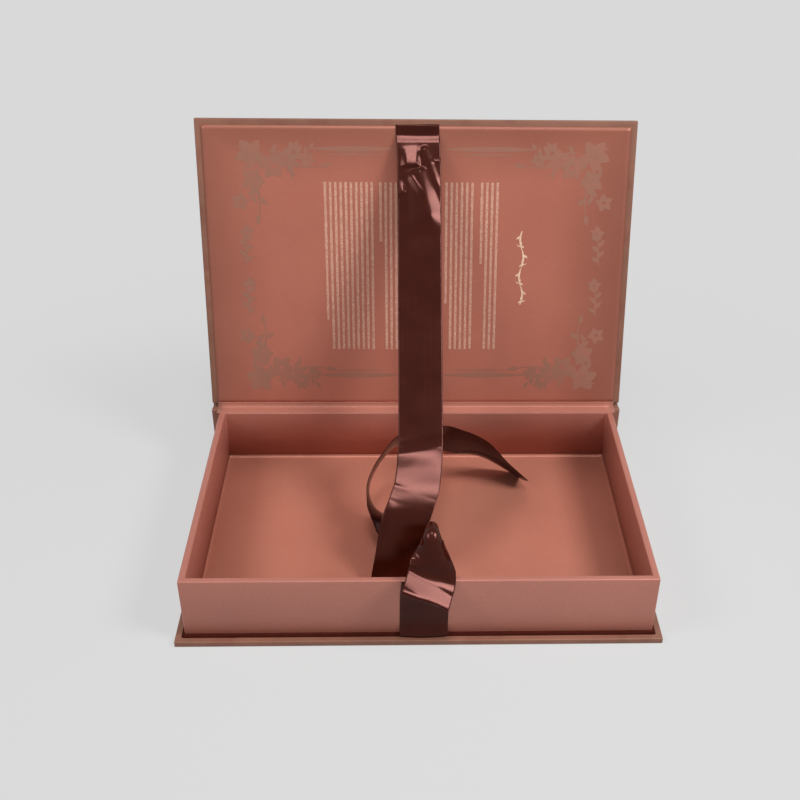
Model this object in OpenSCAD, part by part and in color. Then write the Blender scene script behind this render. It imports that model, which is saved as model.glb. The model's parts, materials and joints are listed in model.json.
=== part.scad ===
/* [Tray] */
// Outer width of the tray
tray_w = 244; // [180:1:320]
// Outer depth of the tray, front to back
tray_d = 162; // [120:1:240]
// Height of the tray walls
tray_h = 36; // [24:1:70]

/* [Cover] */
// Border of the base cover that shows around the tray
lip = 5; // [2:0.5:10]
// Border of the lid's turned edge that shows around its liner
liner_inset = 3.5; // [2:0.5:8]
// How far the lid leans back from upright when open, in degrees
lean = 14; // [4:1:30]
// Gap between the rim and the closed lid
lid_gap = 0.3; // [0.2:0.1:1]

/* [Boards and papers] */
// Thickness of the greyboard
board_t = 3; // [2:0.1:4]
// Thickness of the wrapping and lining papers
paper_t = 0.2; // [0.15:0.05:0.4]
// Thickness of the paper tape round the tray's corners
tape_t = 0.15; // [0.1:0.05:0.3]
// Thickness of the card panel on the tray floor
panel_t = 0.4; // [0.3:0.1:1]
// Width of the wrap's margin that is folded in behind each board
turn_in = 15; // [10:1:22]
// Length of each leg of a corner tape
tape_leg = 14; // [8:1:20]

/* [Ribbons] */
// Width of both ribbons
ribbon_w = 25; // [12:1:38]
// Thickness of the ribbon
ribbon_t = 0.3; // [0.2:0.05:0.5]
// Glued length of each ribbon under the tray and under the liner
tab_len = 20; // [12:1:30]

/* [Hinge] */
// From the hinge axis to the lower edge of the lid board
hinge_gap = 1.9; // [1.5:0.1:3]
// How far the hinge axis lies behind the back of the spine
hinge_out = 1; // [0.6:0.1:2]
// Width of each glued band of the hinge papers
hinge_band = 2; // [1:0.5:4]

/* [Hidden] */
// Running clearance between loose or soft pieces
clear = 0.3;
// Fine clearance between papers that meet at an edge
fine = 0.1;
// Overrun of every cut
over = 1;
// Glue layer that the front ribbon runs through, between base and tray
seat_gap = ribbon_t + fine;

// Cover outline
spine_t = board_t + 2 * paper_t;
cover_w = tray_w + 2 * lip;
cover_d = lip + tray_d + spine_t;
cover_x = cover_w / 2;
front_y = -cover_d / 2;
back_y = cover_d / 2;
base_top = board_t + 2 * paper_t;

// Tray outline: outside, board outside, board inside, hollow
tray_x = tray_w / 2;
wrap_in = paper_t;
board_in = wrap_in + tape_t;
hollow_edge = board_in + board_t;
wall_t = hollow_edge + paper_t;
tray_front = front_y + lip;
tray_back = tray_front + tray_d;
tray_low = base_top + seat_gap;
board_low = tray_low + paper_t;
floor_low = board_low + board_t;
floor_top = floor_low + panel_t;
rim = tray_low + tray_h;
board_high = rim - paper_t;
wall_h = rim - floor_top;

// Hinge axis, and the lid measured from it: up the lid, and through its thickness
axis_y = back_y + hinge_out;
axis_z = rim + lid_gap;
lid_top = axis_y - front_y;
liner_top = lid_top - liner_inset;
margin_n = paper_t;
lid_board_n = margin_n + paper_t;
lid_wrap_n = lid_board_n + board_t;
lid_back_n = lid_wrap_n + paper_t;

// Colours
copper_back = [0.54, 0.33, 0.25];
copper_light = [0.72, 0.44, 0.36];
copper_liner = [0.63, 0.4, 0.33];
board_grey = [0.55, 0.52, 0.47];
tape_brown = [0.72, 0.6, 0.44];
satin_brown = [0.3, 0.14, 0.12];

// Where the ribbons cross the box, as shares of their width right of its middle
front_ribbon_share = 0.06;
lid_ribbon_share = 0.04;
front_ribbon_x = front_ribbon_share * ribbon_w;
lid_ribbon_x = lid_ribbon_share * ribbon_w;

// Free length of the front ribbon. Each row is a place, then twist, tilt and width share.
// Past the rim x and y are shares of the tray's width and depth, and z is a share of the
// wall's height above the floor
front_rise_shares = [
  [0.009, -0.474, 1.12, 0, 0, 0.97],
  [0.016, -0.425, 1.3, 0, 0, 0.72],
  [0.023, -0.375, 1.46, 0, 0, 0.45],
  [0.029, -0.332, 1.54, 0, 0, 0.26],
  [0.033, -0.275, 1.22, 0, 0, 0.24],
  [0.032, -0.205, 0.86, 0, 0, 0.24]
];
// In the tray z is a share of the ribbon's width above the floor
front_curl_shares = [
  [0.026, -0.135, 0.66, 20, 0, 0.26],
  [0.008, -0.075, 0.46, 60, 10, 0.4],
  [-0.03, -0.045, 0.46, 80, 25, 0.7],
  [-0.075, -0.02, 0.53, 90, 37, 1],
  [-0.104, 0.02, 0.71, 90, 38, 1],
  [-0.115, 0.065, 0.89, 90, 38, 1],
  [-0.108, 0.112, 1.06, 90, 38, 1],
  [-0.085, 0.172, 1.27, 90, 40, 1],
  [-0.05, 0.232, 1.48, 90, 46, 1],
  [0.002, 0.27, 1.53, 90, 58, 1],
  [0.057, 0.286, 1.35, 90, 70, 1],
  [0.093, 0.291, 1.23, 90, 68, 1],
  [0.13, 0.292, 1.08, 90, 60, 1],
  [0.165, 0.288, 0.89, 90, 50, 1],
  [0.205, 0.275, 0.65, 90, 42, 1],
  [0.248, 0.262, 0.39, 90, 35, 1]
];

// Where the lid ribbon lands on the floor and where it ends, as shares of the tray's depth
landing_share = -0.24;
lid_end_share = -0.385;
// Its drop from the lid: share of the way down, then x as a share of its width
lid_drop_shares = [[0.41, 0.04], [0.69, 0.05], [0.8, -0.16], [0.89, -0.4], [0.955, -0.52]];
landing_x_share = -0.56;
// Height of the pressed fold on the front ribbon, as a share of the tray's height
fold_share = 0.58;
// Overlap of that fold, as a share of the ribbon's width
fold_lap_share = 0.12;

// A block given by its lowest and highest x, y and z
module slab(x, y, z) {
  translate([x[0], y[0], z[0]])
    cube([x[1] - x[0], y[1] - y[0], z[1] - z[0]]);
}

// A block centred in x
module wide_slab(half, y, z) {
  slab([-half, half], y, z);
}

// A block of the tray's plan, drawn in from its outside by a margin
module tray_slab(margin, z) {
  slab([margin - tray_x, tray_x - margin], [tray_front + margin, tray_back - margin], z);
}

// Puts a piece drawn with y through the lid and z up the lid onto the open lid
module on_lid() {
  translate([0, axis_y, axis_z])
    rotate([-lean, 0, 0])
      children();
}

// A point of the lid, up it and through it, in the box's own y and z
function lid_point(u, n) = [
  axis_y + u * sin(lean) + n * cos(lean),
  axis_z + u * cos(lean) - n * sin(lean)
];

function unit(v) = v / norm(v);
function along(points, i) = unit(points[min(i + 1, len(points) - 1)] - points[max(i - 1, 0)]);
function sideways(v) = [-v[1], v[0]];

// Outline of a bent paper of the given thickness along a list of y, z points
function paper_outline(points, t) = concat(
  [for (i = [0 : len(points) - 1]) points[i] + sideways(along(points, i)) * t / 2],
  [for (i = [len(points) - 1 : -1 : 0]) points[i] - sideways(along(points, i)) * t / 2]
);

// A bent paper, drawn along x
module bent_paper(points, t, half) {
  translate([-half, 0, 0])
    rotate([90, 0, 90])
      linear_extrude(2 * half)
        polygon(paper_outline(points, t));
}

// A ribbon along stations of x, y, z, twist, tilt and width share
function centre(s) = [s[0], s[1], s[2]];
function width_way(s) = [cos(s[3]), sin(s[3]) * cos(s[4]), -sin(s[3]) * sin(s[4])];
function square_to(w, t) = unit(w - (w * t) * t);
function station_ring(route, i) = let (
  points = [for (s = route) centre(s)],
  way = along(points, i),
  across = square_to(width_way(route[i]), way) * ribbon_w / 2 * route[i][5],
  through = unit(cross(way, across)) * ribbon_t / 2
) [
  points[i] - across - through,
  points[i] + across - through,
  points[i] + across + through,
  points[i] - across + through
];

module ribbon(route) {
  sides = 4;
  last = len(route) - 1;
  points = [for (i = [0 : last]) each station_ring(route, i)];
  walls = [
    for (i = [0 : last - 1], k = [0 : sides - 1])
      let (a = i * sides + k, b = i * sides + (k + 1) % sides)
        each [[a, a + sides, b], [b, a + sides, b + sides]]
  ];
  ends = [
    [0, 1, 2], [0, 2, 3],
    [last * sides, last * sides + 2, last * sides + 1],
    [last * sides, last * sides + 3, last * sides + 2]
  ];
  polyhedron(points, concat(walls, ends));
}

// Turns rows of shares into stations, with z in the given unit above the floor
tray_mid = (tray_front + tray_back) / 2;
function stations(shares, z_unit) = [
  for (s = shares) [
    s[0] * tray_w,
    tray_mid + s[1] * tray_d,
    floor_top + s[2] * z_unit,
    s[3], s[4], s[5]
  ]
];
// A station that lies flat across x
function flat_station(x, y, z) = [x, y, z, 0, 0, 1];

// Base cover
module base_wrap() {
  color(copper_back)
    union() {
      difference() {
        wide_slab(cover_x, [front_y, tray_back], [0, base_top]);
        base_board_block(over);
        wide_slab(cover_x - turn_in, [front_y + turn_in, tray_back + over], [board_t, base_top + over]);
      }
      wide_slab(cover_x, [tray_back, back_y], [0, paper_t]);
    }
}

module base_board_block(past) {
  wide_slab(cover_x - paper_t, [front_y + paper_t, tray_back + past], [paper_t, base_top - paper_t]);
}

module base_board() {
  color(board_grey)
    base_board_block(0);
}

// Spine that stands behind the tray
module spine_board_block(past) {
  wide_slab(cover_x - paper_t, [tray_back + paper_t, back_y - paper_t], [paper_t - past, rim + past]);
}

module spine_board() {
  color(board_grey)
    spine_board_block(0);
}

module spine_wrap() {
  color(copper_back)
    difference() {
      wide_slab(cover_x, [tray_back, back_y], [paper_t, rim]);
      spine_board_block(over);
      wide_slab(cover_x - turn_in, [tray_back - over, tray_back + board_t], [0, rim + over]);
      wide_slab(cover_x + over, [back_y - board_t, back_y + over], [rim - hinge_band, rim + over]);
    }
}

// Tray boards
module tray_floor_board() {
  color(board_grey)
    tray_slab(hollow_edge, [board_low, floor_low]);
}

module cross_board(y) {
  color(board_grey)
    wide_slab(tray_x - board_in, [y, y + board_t], [board_low, board_high]);
}

module side_board(x) {
  color(board_grey)
    slab([x, x + board_t], [tray_front + hollow_edge, tray_back - hollow_edge], [board_low, board_high]);
}

module tray_front_board() {
  cross_board(tray_front + board_in);
}

module tray_back_board() {
  cross_board(tray_back - board_in - board_t);
}

module tray_left_board() {
  side_board(board_in - tray_x);
}

module tray_right_board() {
  side_board(tray_x - board_in - board_t);
}

// Paper tape folded round one corner of the tray boards
module corner_tape(side_x, side_y) {
  color(tape_brown)
    translate([0, tray_mid, 0])
      scale([side_x, side_y, 1])
        difference() {
          slab([tray_x - board_in - tape_leg, tray_x - wrap_in],
            [tray_d / 2 - board_in - tape_leg, tray_d / 2 - wrap_in], [board_low, board_high]);
          slab([0, tray_x - board_in], [0, tray_d / 2 - board_in], [0, rim + over]);
        }
}

module corner_tape_front_left() {
  corner_tape(-1, -1);
}

module corner_tape_front_right() {
  corner_tape(1, -1);
}

module corner_tape_back_left() {
  corner_tape(-1, 1);
}

module corner_tape_back_right() {
  corner_tape(1, 1);
}

// Wrap of the tray: under its edges, up the outside, over the rim and down the inside
module tray_wrap() {
  color(copper_light)
    union() {
      difference() {
        tray_slab(0, [tray_low, rim]);
        tray_slab(wrap_in, [board_low, board_high]);
        tray_slab(wall_t, [board_high - over, rim + over]);
        tray_slab(turn_in, [tray_low - over, board_low + over]);
      }
      difference() {
        tray_slab(hollow_edge, [floor_low, board_high]);
        tray_slab(wall_t, [floor_low - over, board_high + over]);
      }
    }
}

module tray_floor_panel() {
  color(copper_light)
    tray_slab(wall_t + clear, [floor_low, floor_top]);
}

// Front ribbon: its glued end, then the free length
ribbon_low = base_top + fine / 2;
module front_ribbon_tab() {
  color(satin_brown)
    slab([front_ribbon_x - ribbon_w / 2, front_ribbon_x + ribbon_w / 2],
      [tray_front, tray_front + tab_len], [ribbon_low, ribbon_low + ribbon_t]);
}

// The free length leaves the base, climbs the tray's front, doubles back at the pressed fold
// and crosses the rim. Places are measured from the tray's front, in ribbon layers
layer = 2 * ribbon_t;
fold_z = base_top + fold_share * tray_h;
fold_lap = fold_lap_share * ribbon_w;
front_climb = [
  [0, ribbon_low + ribbon_t / 2],
  [-layer / 2, ribbon_low + ribbon_t / 2],
  [-layer, ribbon_low + layer],
  [-layer, fold_z + fold_lap / 2],
  [-1.5 * layer, fold_z + fold_lap],
  [-2 * layer, fold_z + fold_lap / 2],
  [-2.2 * layer, fold_z],
  [-3 * layer, fold_z - layer],
  [-4 * layer, fold_z + layer / 2],
  [-4 * layer, rim - layer],
  [-2.5 * layer, rim + 2 * layer],
  [0, rim + 3 * layer],
  [wall_t / 2, rim + 4 * layer]
];

module front_ribbon() {
  climb = [for (p = front_climb) flat_station(front_ribbon_x, tray_front + p[0], p[1])];
  color(satin_brown)
    ribbon(concat(climb, stations(front_rise_shares, wall_h), stations(front_curl_shares, ribbon_w)));
}

// Hinge papers, which bend when the lid moves
module hinge_outer_paper() {
  color(copper_back)
    bent_paper([
      [back_y - paper_t / 2, rim - hinge_band],
      [back_y - paper_t / 2, rim - paper_t],
      [back_y + hinge_out, rim - paper_t],
      lid_point(hinge_gap - 2 * paper_t, lid_wrap_n - board_t / 2),
      lid_point(hinge_gap - paper_t, lid_back_n - paper_t / 2),
      lid_point(hinge_gap + hinge_band - fine / 2, lid_back_n - paper_t / 2)
    ], paper_t, cover_x);
}

module hinge_inner_paper() {
  color(copper_liner)
    bent_paper([
      [tray_back - wall_t, rim + paper_t / 2],
      [back_y - paper_t, rim + paper_t / 2],
      [back_y + paper_t, rim + 2 * paper_t],
      lid_point(hinge_gap - paper_t, 0)
    ], paper_t, cover_x - liner_inset);
}

// Lid
module lid_board_block(past) {
  wide_slab(cover_x - paper_t, [lid_board_n, lid_wrap_n], [hinge_gap - past, lid_top - paper_t]);
}

// Room for the glued end of the lid ribbon, under the liner's top edge
module lid_tab_block(grow) {
  slab([lid_ribbon_x - ribbon_w / 2 - grow, lid_ribbon_x + ribbon_w / 2 + grow],
    [margin_n, margin_n + ribbon_t + grow / 2], [liner_top - tab_len - grow, liner_top]);
}

module lid_board() {
  color(board_grey)
    on_lid()
      difference() {
        lid_board_block(0);
        lid_tab_block(fine);
      }
}

module lid_wrap() {
  color(copper_back)
    on_lid()
      difference() {
        wide_slab(cover_x, [margin_n, lid_back_n], [hinge_gap, lid_top]);
        lid_board_block(over);
        wide_slab(cover_x - turn_in, [0, lid_board_n + over], [0, lid_top - turn_in]);
        wide_slab(cover_x + over, [lid_wrap_n, lid_back_n + over], [0, hinge_gap + hinge_band]);
        lid_tab_block(fine);
      }
}

module lid_liner() {
  color(copper_liner)
    on_lid()
      wide_slab(cover_x - liner_inset, [0, margin_n], [hinge_gap, liner_top]);
}

module lid_ribbon_tab() {
  color(satin_brown)
    on_lid()
      lid_tab_block(0);
}

// The lid ribbon comes out at the liner's edge, turns over it and drops into the tray
lid_turn = [
  [liner_top + fine, margin_n + ribbon_t / 2 - fine],
  [liner_top + layer, margin_n - fine],
  [liner_top + 1.5 * layer, -layer],
  [liner_top, -1.5 * layer],
  [liner_top - 2 * layer, -2 * layer]
];
lid_floor = floor_top + layer;
drop_from = lid_point(liner_top - 2 * layer, -2 * layer);
drop_to = [tray_mid + landing_share * tray_d, lid_floor];
module lid_ribbon() {
  landing_x = landing_x_share * ribbon_w;
  turn = [
    for (p = lid_turn)
      let (q = lid_point(p[0], p[1]))
        flat_station(lid_ribbon_x, q[0], q[1])
  ];
  drop = [
    for (s = lid_drop_shares)
      let (q = drop_from + s[0] * (drop_to - drop_from))
        flat_station(s[1] * ribbon_w, q[0], q[1])
  ];
  floor_end = [
    flat_station(landing_x, drop_to[0], lid_floor),
    flat_station(landing_x, tray_mid + lid_end_share * tray_d, lid_floor)
  ];
  color(satin_brown)
    ribbon(concat(turn, drop, floor_end));
}

base_wrap();
base_board();
spine_board();
spine_wrap();
tray_floor_board();
tray_front_board();
tray_back_board();
tray_left_board();
tray_right_board();
corner_tape_front_left();
corner_tape_front_right();
corner_tape_back_left();
corner_tape_back_right();
tray_wrap();
tray_floor_panel();
front_ribbon_tab();
front_ribbon();
hinge_outer_paper();
hinge_inner_paper();
lid_board();
lid_wrap();
lid_liner();
lid_ribbon_tab();
lid_ribbon();
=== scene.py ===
"""Looks of an open book-shaped gift box: papers, printed lining, folds and satin ribbons,
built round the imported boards. Lengths are in metres unless a name or a helper says millimetres."""

import json
import math

import bmesh
import bpy
from mathutils import Matrix, Vector, noise


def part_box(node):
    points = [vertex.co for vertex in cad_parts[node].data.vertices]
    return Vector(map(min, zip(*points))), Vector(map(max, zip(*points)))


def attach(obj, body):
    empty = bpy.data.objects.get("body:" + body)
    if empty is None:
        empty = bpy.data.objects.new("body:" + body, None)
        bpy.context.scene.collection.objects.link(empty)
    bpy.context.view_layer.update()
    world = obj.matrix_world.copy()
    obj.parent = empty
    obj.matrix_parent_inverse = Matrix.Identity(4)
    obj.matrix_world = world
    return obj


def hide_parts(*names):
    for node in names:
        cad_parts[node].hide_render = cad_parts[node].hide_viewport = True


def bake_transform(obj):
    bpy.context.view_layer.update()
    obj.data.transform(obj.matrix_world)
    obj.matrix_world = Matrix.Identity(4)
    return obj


MM = 0.001

# Papers, as in the model of the box
PAPER = 0.2 * MM
WALL = 3.55 * MM
TURN_IN = 15 * MM
EDGE_ROUND = 0.65 * MM
# Height and reach of the dark strip at the tray's foot, painted shadow for the gap under the tray
SHADOW_STRIP_HIGH = 1.2 * MM
SHADOW_STRIP_OUT = 1.8 * MM
LINER_INSET = 3.5 * MM
HINGE_GAP = 1.9 * MM
LID_THICK = 3.6 * MM
LEAN = math.radians(14)

# An edge that bends by more radians than this is a fold
SHARP_FOLD = 0.5

# Ribbons
RIBBON_W = 25 * MM
RIBBON_T = 0.3 * MM
TAB_LEN = 20 * MM

# Camera, fitted to the photograph's frame
PICTURE_PX = 800
SENSOR_MM = 36
FOCAL_PX = 1117.9
CENTRE_OFF_PX = (39.2, 66.3)
CAMERA_PLACE = Vector((-7.9, -508.5, 409.9)) * MM
CAMERA_PITCH = 0.6101
CAMERA_YAW = 0.038
CAMERA_ROLL = 0.0188

# Light and background
PALE = (0.694, 0.694, 0.694, 1)
FLOOR_COLOUR = (0.70, 0.70, 0.70, 1)
SKY_STRENGTH = 0.08

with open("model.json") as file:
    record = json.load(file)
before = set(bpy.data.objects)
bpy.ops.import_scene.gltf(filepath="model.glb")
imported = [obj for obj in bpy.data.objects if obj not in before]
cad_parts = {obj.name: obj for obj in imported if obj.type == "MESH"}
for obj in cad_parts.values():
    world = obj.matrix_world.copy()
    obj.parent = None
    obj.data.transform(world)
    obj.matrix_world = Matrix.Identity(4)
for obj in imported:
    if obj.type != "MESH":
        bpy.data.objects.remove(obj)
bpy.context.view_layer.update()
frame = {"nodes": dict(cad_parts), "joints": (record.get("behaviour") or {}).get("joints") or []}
hinge = Vector(frame["joints"][0]["pos_m"])
base_low, base_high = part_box("base_wrap")
tray_low, tray_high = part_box("tray_wrap")
panel_low, panel_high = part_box("tray_floor_panel")
cover_x = base_high.x
liner_x = cover_x - LINER_INSET
rim = tray_high.z
floor_top = panel_high.z
spine_back = base_high.y
lid_top = hinge.y - base_low.y
liner_top = lid_top - LINER_INSET


# Placing


def on_lid(x, up, out=0.0):
    """A point of the open lid: across, up from the hinge, and out through the board."""
    s, c = math.sin(LEAN), math.cos(LEAN)
    return Vector((x, hinge.y + up * s + out * c, hinge.z + up * c - out * s))


def make_piece(name, bm, material, body=None, smooth=True):
    """Turns a finished bmesh into a named piece that rides on a body."""
    mesh = bpy.data.meshes.new(name)
    bm.to_mesh(mesh)
    bm.free()
    for polygon in mesh.polygons:
        polygon.use_smooth = smooth
    piece = bpy.data.objects.new(name, mesh)
    bpy.context.scene.collection.objects.link(piece)
    mesh.materials.append(material)
    if body:
        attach(piece, body)
    return piece


def paper_skin(piece, thickness=PAPER, offset=-1.0):
    """Gives a folded skin its paper thickness."""
    skin = piece.modifiers.new("paper", "SOLIDIFY")
    skin.thickness = thickness
    skin.offset = offset
    skin.use_even_offset = True


def block(bm, low, high):
    """A block between two corners."""
    made = bmesh.ops.create_cube(bm, size=1.0)
    size = high - low
    bmesh.ops.scale(bm, vec=size, verts=made["verts"])
    bmesh.ops.translate(bm, vec=(low + high) / 2, verts=made["verts"])


def round_edges(bm, edges, radius, segments):
    bmesh.ops.bevel(
        bm,
        geom=list(edges),
        offset=radius,
        offset_type="OFFSET",
        segments=segments,
        profile=0.5,
        affect="EDGES",
        clamp_overlap=True,
        material=-1,
    )


def near(a, b):
    tolerance = 0.01 * MM
    return abs(a - b) < tolerance


def is_fold(edge):
    return edge.is_manifold and edge.calc_face_angle(0) > SHARP_FOLD


def face_towards(bm, direction):
    """Turns an open skin so that its faces point along a direction, on the whole."""
    bmesh.ops.recalc_face_normals(bm, faces=bm.faces[:])
    bm.normal_update()
    if sum(f.normal.dot(direction) * f.calc_area() for f in bm.faces) < 0:
        bmesh.ops.reverse_faces(bm, faces=bm.faces[:])


# Materials


def new_material(name):
    material = bpy.data.materials.new(name)
    material.use_nodes = True
    nodes = material.node_tree.nodes
    return material, nodes, material.node_tree.links, nodes["Principled BSDF"]


def object_place(nodes):
    return nodes.new("ShaderNodeTexCoord").outputs["Object"]


def noise_at(nodes, links, place, scale, detail, roughness):
    made = nodes.new("ShaderNodeTexNoise")
    made.inputs["Scale"].default_value = scale
    made.inputs["Detail"].default_value = detail
    made.inputs["Roughness"].default_value = roughness
    links.new(place, made.inputs["Vector"])
    return made


def colour_ramp(nodes, links, value, stops):
    """A blend between two colours, each given with the value that it stands at."""
    ramp = nodes.new("ShaderNodeValToRGB")
    links.new(value, ramp.inputs["Fac"])
    for element, (at, colour) in zip(ramp.color_ramp.elements, stops):
        element.position = at
        element.color = (*colour, 1)
    return ramp.outputs["Color"]


def multiplied(nodes, links, a, b):
    """The product of two colours."""
    share, first, second, result = 0, 6, 7, 2
    mix = nodes.new("ShaderNodeMix")
    mix.data_type = "RGBA"
    mix.blend_type = "MULTIPLY"
    mix.inputs[share].default_value = 1.0
    links.new(a, mix.inputs[first])
    links.new(b, mix.inputs[second])
    return mix.outputs[result]


def add_bump(nodes, links, shader, height, strength, distance):
    bump = nodes.new("ShaderNodeBump")
    bump.inputs["Strength"].default_value = strength
    bump.inputs["Distance"].default_value = distance
    links.new(height, bump.inputs["Height"])
    links.new(bump.outputs["Normal"], shader.inputs["Normal"])


def pearl_paper(name, dark, light, shade=None):
    """Copper pearl paper: cloudy tone, fine pearl flecks and a soft fibre grain."""
    cloud_scale, fleck_scale, grain_scale = 14.0, 2600.0, 900.0
    metallic, smoothest, roughest = 0.25, 0.37, 0.49
    material, nodes, links, shader = new_material(name)
    place = object_place(nodes)
    cloud = noise_at(nodes, links, place, cloud_scale, 4.0, 0.6)
    tone = colour_ramp(nodes, links, cloud.outputs["Fac"], [(0.3, dark), (0.7, light)])
    fleck = noise_at(nodes, links, place, fleck_scale, 2.0, 0.6)
    flecks = colour_ramp(
        nodes, links, fleck.outputs["Fac"], [(0.35, (0.9, 0.9, 0.9)), (0.7, (1.1, 1.1, 1.1))]
    )
    colour = multiplied(nodes, links, tone, flecks)
    # An optional painted edge shade darkens the colour towards the edges
    if shade:
        edges = edge_shade(nodes, links, place, *shade)
        colour = multiplied(nodes, links, colour, edges)
    links.new(colour, shader.inputs["Base Color"])
    grain = noise_at(nodes, links, place, grain_scale, 5.0, 0.65)
    add_bump(nodes, links, shader, grain.outputs["Fac"], 0.25, 0.05 * MM)
    gloss = nodes.new("ShaderNodeMapRange")
    gloss.inputs["To Min"].default_value = smoothest
    gloss.inputs["To Max"].default_value = roughest
    links.new(grain.outputs["Fac"], gloss.inputs["Value"])
    links.new(gloss.outputs["Result"], shader.inputs["Roughness"])
    shader.inputs["Metallic"].default_value = metallic
    return material


def edge_shade(nodes, links, place, lean, centre, spans, darkest):
    """Darkens a paper softly towards its edges: on the floor lining this is painted shade where the walls'
    shadow falls, on the liner the ground darkens towards its top and sides. A span is an axis with the
    distances from the centre where the shade starts and where it is fullest."""
    upright = nodes.new("ShaderNodeMapping")
    upright.inputs["Rotation"].default_value = (lean, 0, 0)
    upright.inputs["Location"].default_value = -(Matrix.Rotation(lean, 3, "X") @ centre)
    links.new(place, upright.inputs["Vector"])
    split = nodes.new("ShaderNodeSeparateXYZ")
    links.new(upright.outputs["Vector"], split.inputs["Vector"])
    shares = []
    for axis, start, end in spans:
        share = nodes.new("ShaderNodeMapRange")
        share.interpolation_type = "SMOOTHSTEP"
        share.inputs["From Min"].default_value = start
        share.inputs["From Max"].default_value = end
        away = nodes.new("ShaderNodeMath")
        away.operation = "ABSOLUTE"
        links.new(split.outputs[axis], away.inputs[0])
        links.new(away.outputs["Value"], share.inputs["Value"])
        shares.append(share.outputs["Result"])
    most = nodes.new("ShaderNodeMath")
    most.operation = "MAXIMUM"
    most.inputs[1].default_value = 0.0
    for share, socket in zip(shares, most.inputs):
        links.new(share, socket)
    return colour_ramp(nodes, links, most.outputs["Value"], [(0.0, (1, 1, 1)), (1.0, darkest)])


def cover_paper(name):
    """Outer cover paper: a brown ground with a soft tone-on-tone mottle and a fine emboss."""
    warp_scale, warp_reach, mottle_scale, cloud_scale, grain_scale = 60.0, 0.016, 80.0, 30.0, 1400.0
    mottle_height = 0.8
    material, nodes, links, shader = new_material(name)
    place = object_place(nodes)
    warp = noise_at(nodes, links, place, warp_scale, 2.0, 0.5)
    moved = nodes.new("ShaderNodeVectorMath")
    moved.operation = "MULTIPLY_ADD"
    links.new(warp.outputs["Color"], moved.inputs[0])
    moved.inputs[1].default_value = (warp_reach, warp_reach, warp_reach)
    links.new(place, moved.inputs[2])
    cells = nodes.new("ShaderNodeTexVoronoi")
    cells.feature = "SMOOTH_F1"
    cells.inputs["Scale"].default_value = mottle_scale
    cells.inputs["Smoothness"].default_value = 0.6
    links.new(moved.outputs["Vector"], cells.inputs["Vector"])
    tone = colour_ramp(
        nodes,
        links,
        cells.outputs["Distance"],
        [(0.24, (0.215, 0.082, 0.052)), (0.50, (0.238, 0.101, 0.063))],
    )
    cloud = noise_at(nodes, links, place, cloud_scale, 4.0, 0.6)
    clouds = colour_ramp(
        nodes, links, cloud.outputs["Fac"], [(0.3, (0.86, 0.86, 0.86)), (0.7, (1.1, 1.1, 1.1))]
    )
    links.new(multiplied(nodes, links, tone, clouds), shader.inputs["Base Color"])
    grain = noise_at(nodes, links, place, grain_scale, 4.0, 0.6)
    height = nodes.new("ShaderNodeMath")
    height.operation = "MULTIPLY_ADD"
    links.new(cells.outputs["Distance"], height.inputs[0])
    height.inputs[1].default_value = mottle_height
    links.new(grain.outputs["Fac"], height.inputs[2])
    add_bump(nodes, links, shader, height.outputs["Value"], 0.35, 0.06 * MM)
    shader.inputs["Metallic"].default_value = 0.15
    shader.inputs["Roughness"].default_value = 0.5
    return material


def print_ink(name, colour, edge, scale, metallic=0.0):
    """Printed ink that lies a little unevenly on the paper."""
    material, nodes, links, shader = new_material(name)
    place = object_place(nodes)
    patch = noise_at(nodes, links, place, scale, 3.0, 0.6)
    tone = colour_ramp(nodes, links, patch.outputs["Fac"], [(0.35, edge), (0.62, colour)])
    links.new(tone, shader.inputs["Base Color"])
    shader.inputs["Roughness"].default_value = 0.48
    shader.inputs["Metallic"].default_value = metallic
    return material


def satin(name):
    """Dark brown satin ribbon: warp threads along it, a broad soft gloss across it."""
    threads_across, threads_along, clouds_along = 110.0, 3.0, 12.0
    material, nodes, links, shader = new_material(name)
    uv = nodes.new("ShaderNodeTexCoord").outputs["UV"]
    threads = nodes.new("ShaderNodeMapping")
    threads.inputs["Scale"].default_value = (threads_across, threads_along, 1.0)
    links.new(uv, threads.inputs["Vector"])
    thread = noise_at(nodes, links, threads.outputs["Vector"], 1.0, 2.0, 0.5)
    cloth = nodes.new("ShaderNodeMapping")
    cloth.inputs["Scale"].default_value = (1.0, clouds_along, 1.0)
    links.new(uv, cloth.inputs["Vector"])
    cloud = noise_at(nodes, links, cloth.outputs["Vector"], 1.6, 3.0, 0.55)
    tone = colour_ramp(
        nodes,
        links,
        cloud.outputs["Fac"],
        [(0.3, (0.026, 0.0030, 0.0012)), (0.72, (0.038, 0.0062, 0.0032))],
    )
    strands = colour_ramp(
        nodes, links, thread.outputs["Fac"], [(0.3, (0.82, 0.82, 0.82)), (0.7, (1.15, 1.15, 1.15))]
    )
    links.new(multiplied(nodes, links, tone, strands), shader.inputs["Base Color"])
    add_bump(nodes, links, shader, thread.outputs["Fac"], 0.18, 0.03 * MM)
    tangent = nodes.new("ShaderNodeTangent")
    tangent.direction_type = "UV_MAP"
    tangent.uv_map = "ribbon"
    links.new(tangent.outputs["Tangent"], shader.inputs["Tangent"])
    shader.inputs["Roughness"].default_value = 0.2
    shader.inputs["Specular IOR Level"].default_value = 0.35
    shader.inputs["Specular Tint"].default_value = (1.0, 0.43, 0.37, 1)
    shader.inputs["Anisotropic"].default_value = 0.3
    shader.inputs["Sheen Weight"].default_value = 0.01
    shader.inputs["Sheen Roughness"].default_value = 0.4
    shader.inputs["Sheen Tint"].default_value = (0.85, 0.40, 0.34, 1)
    return material


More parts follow.
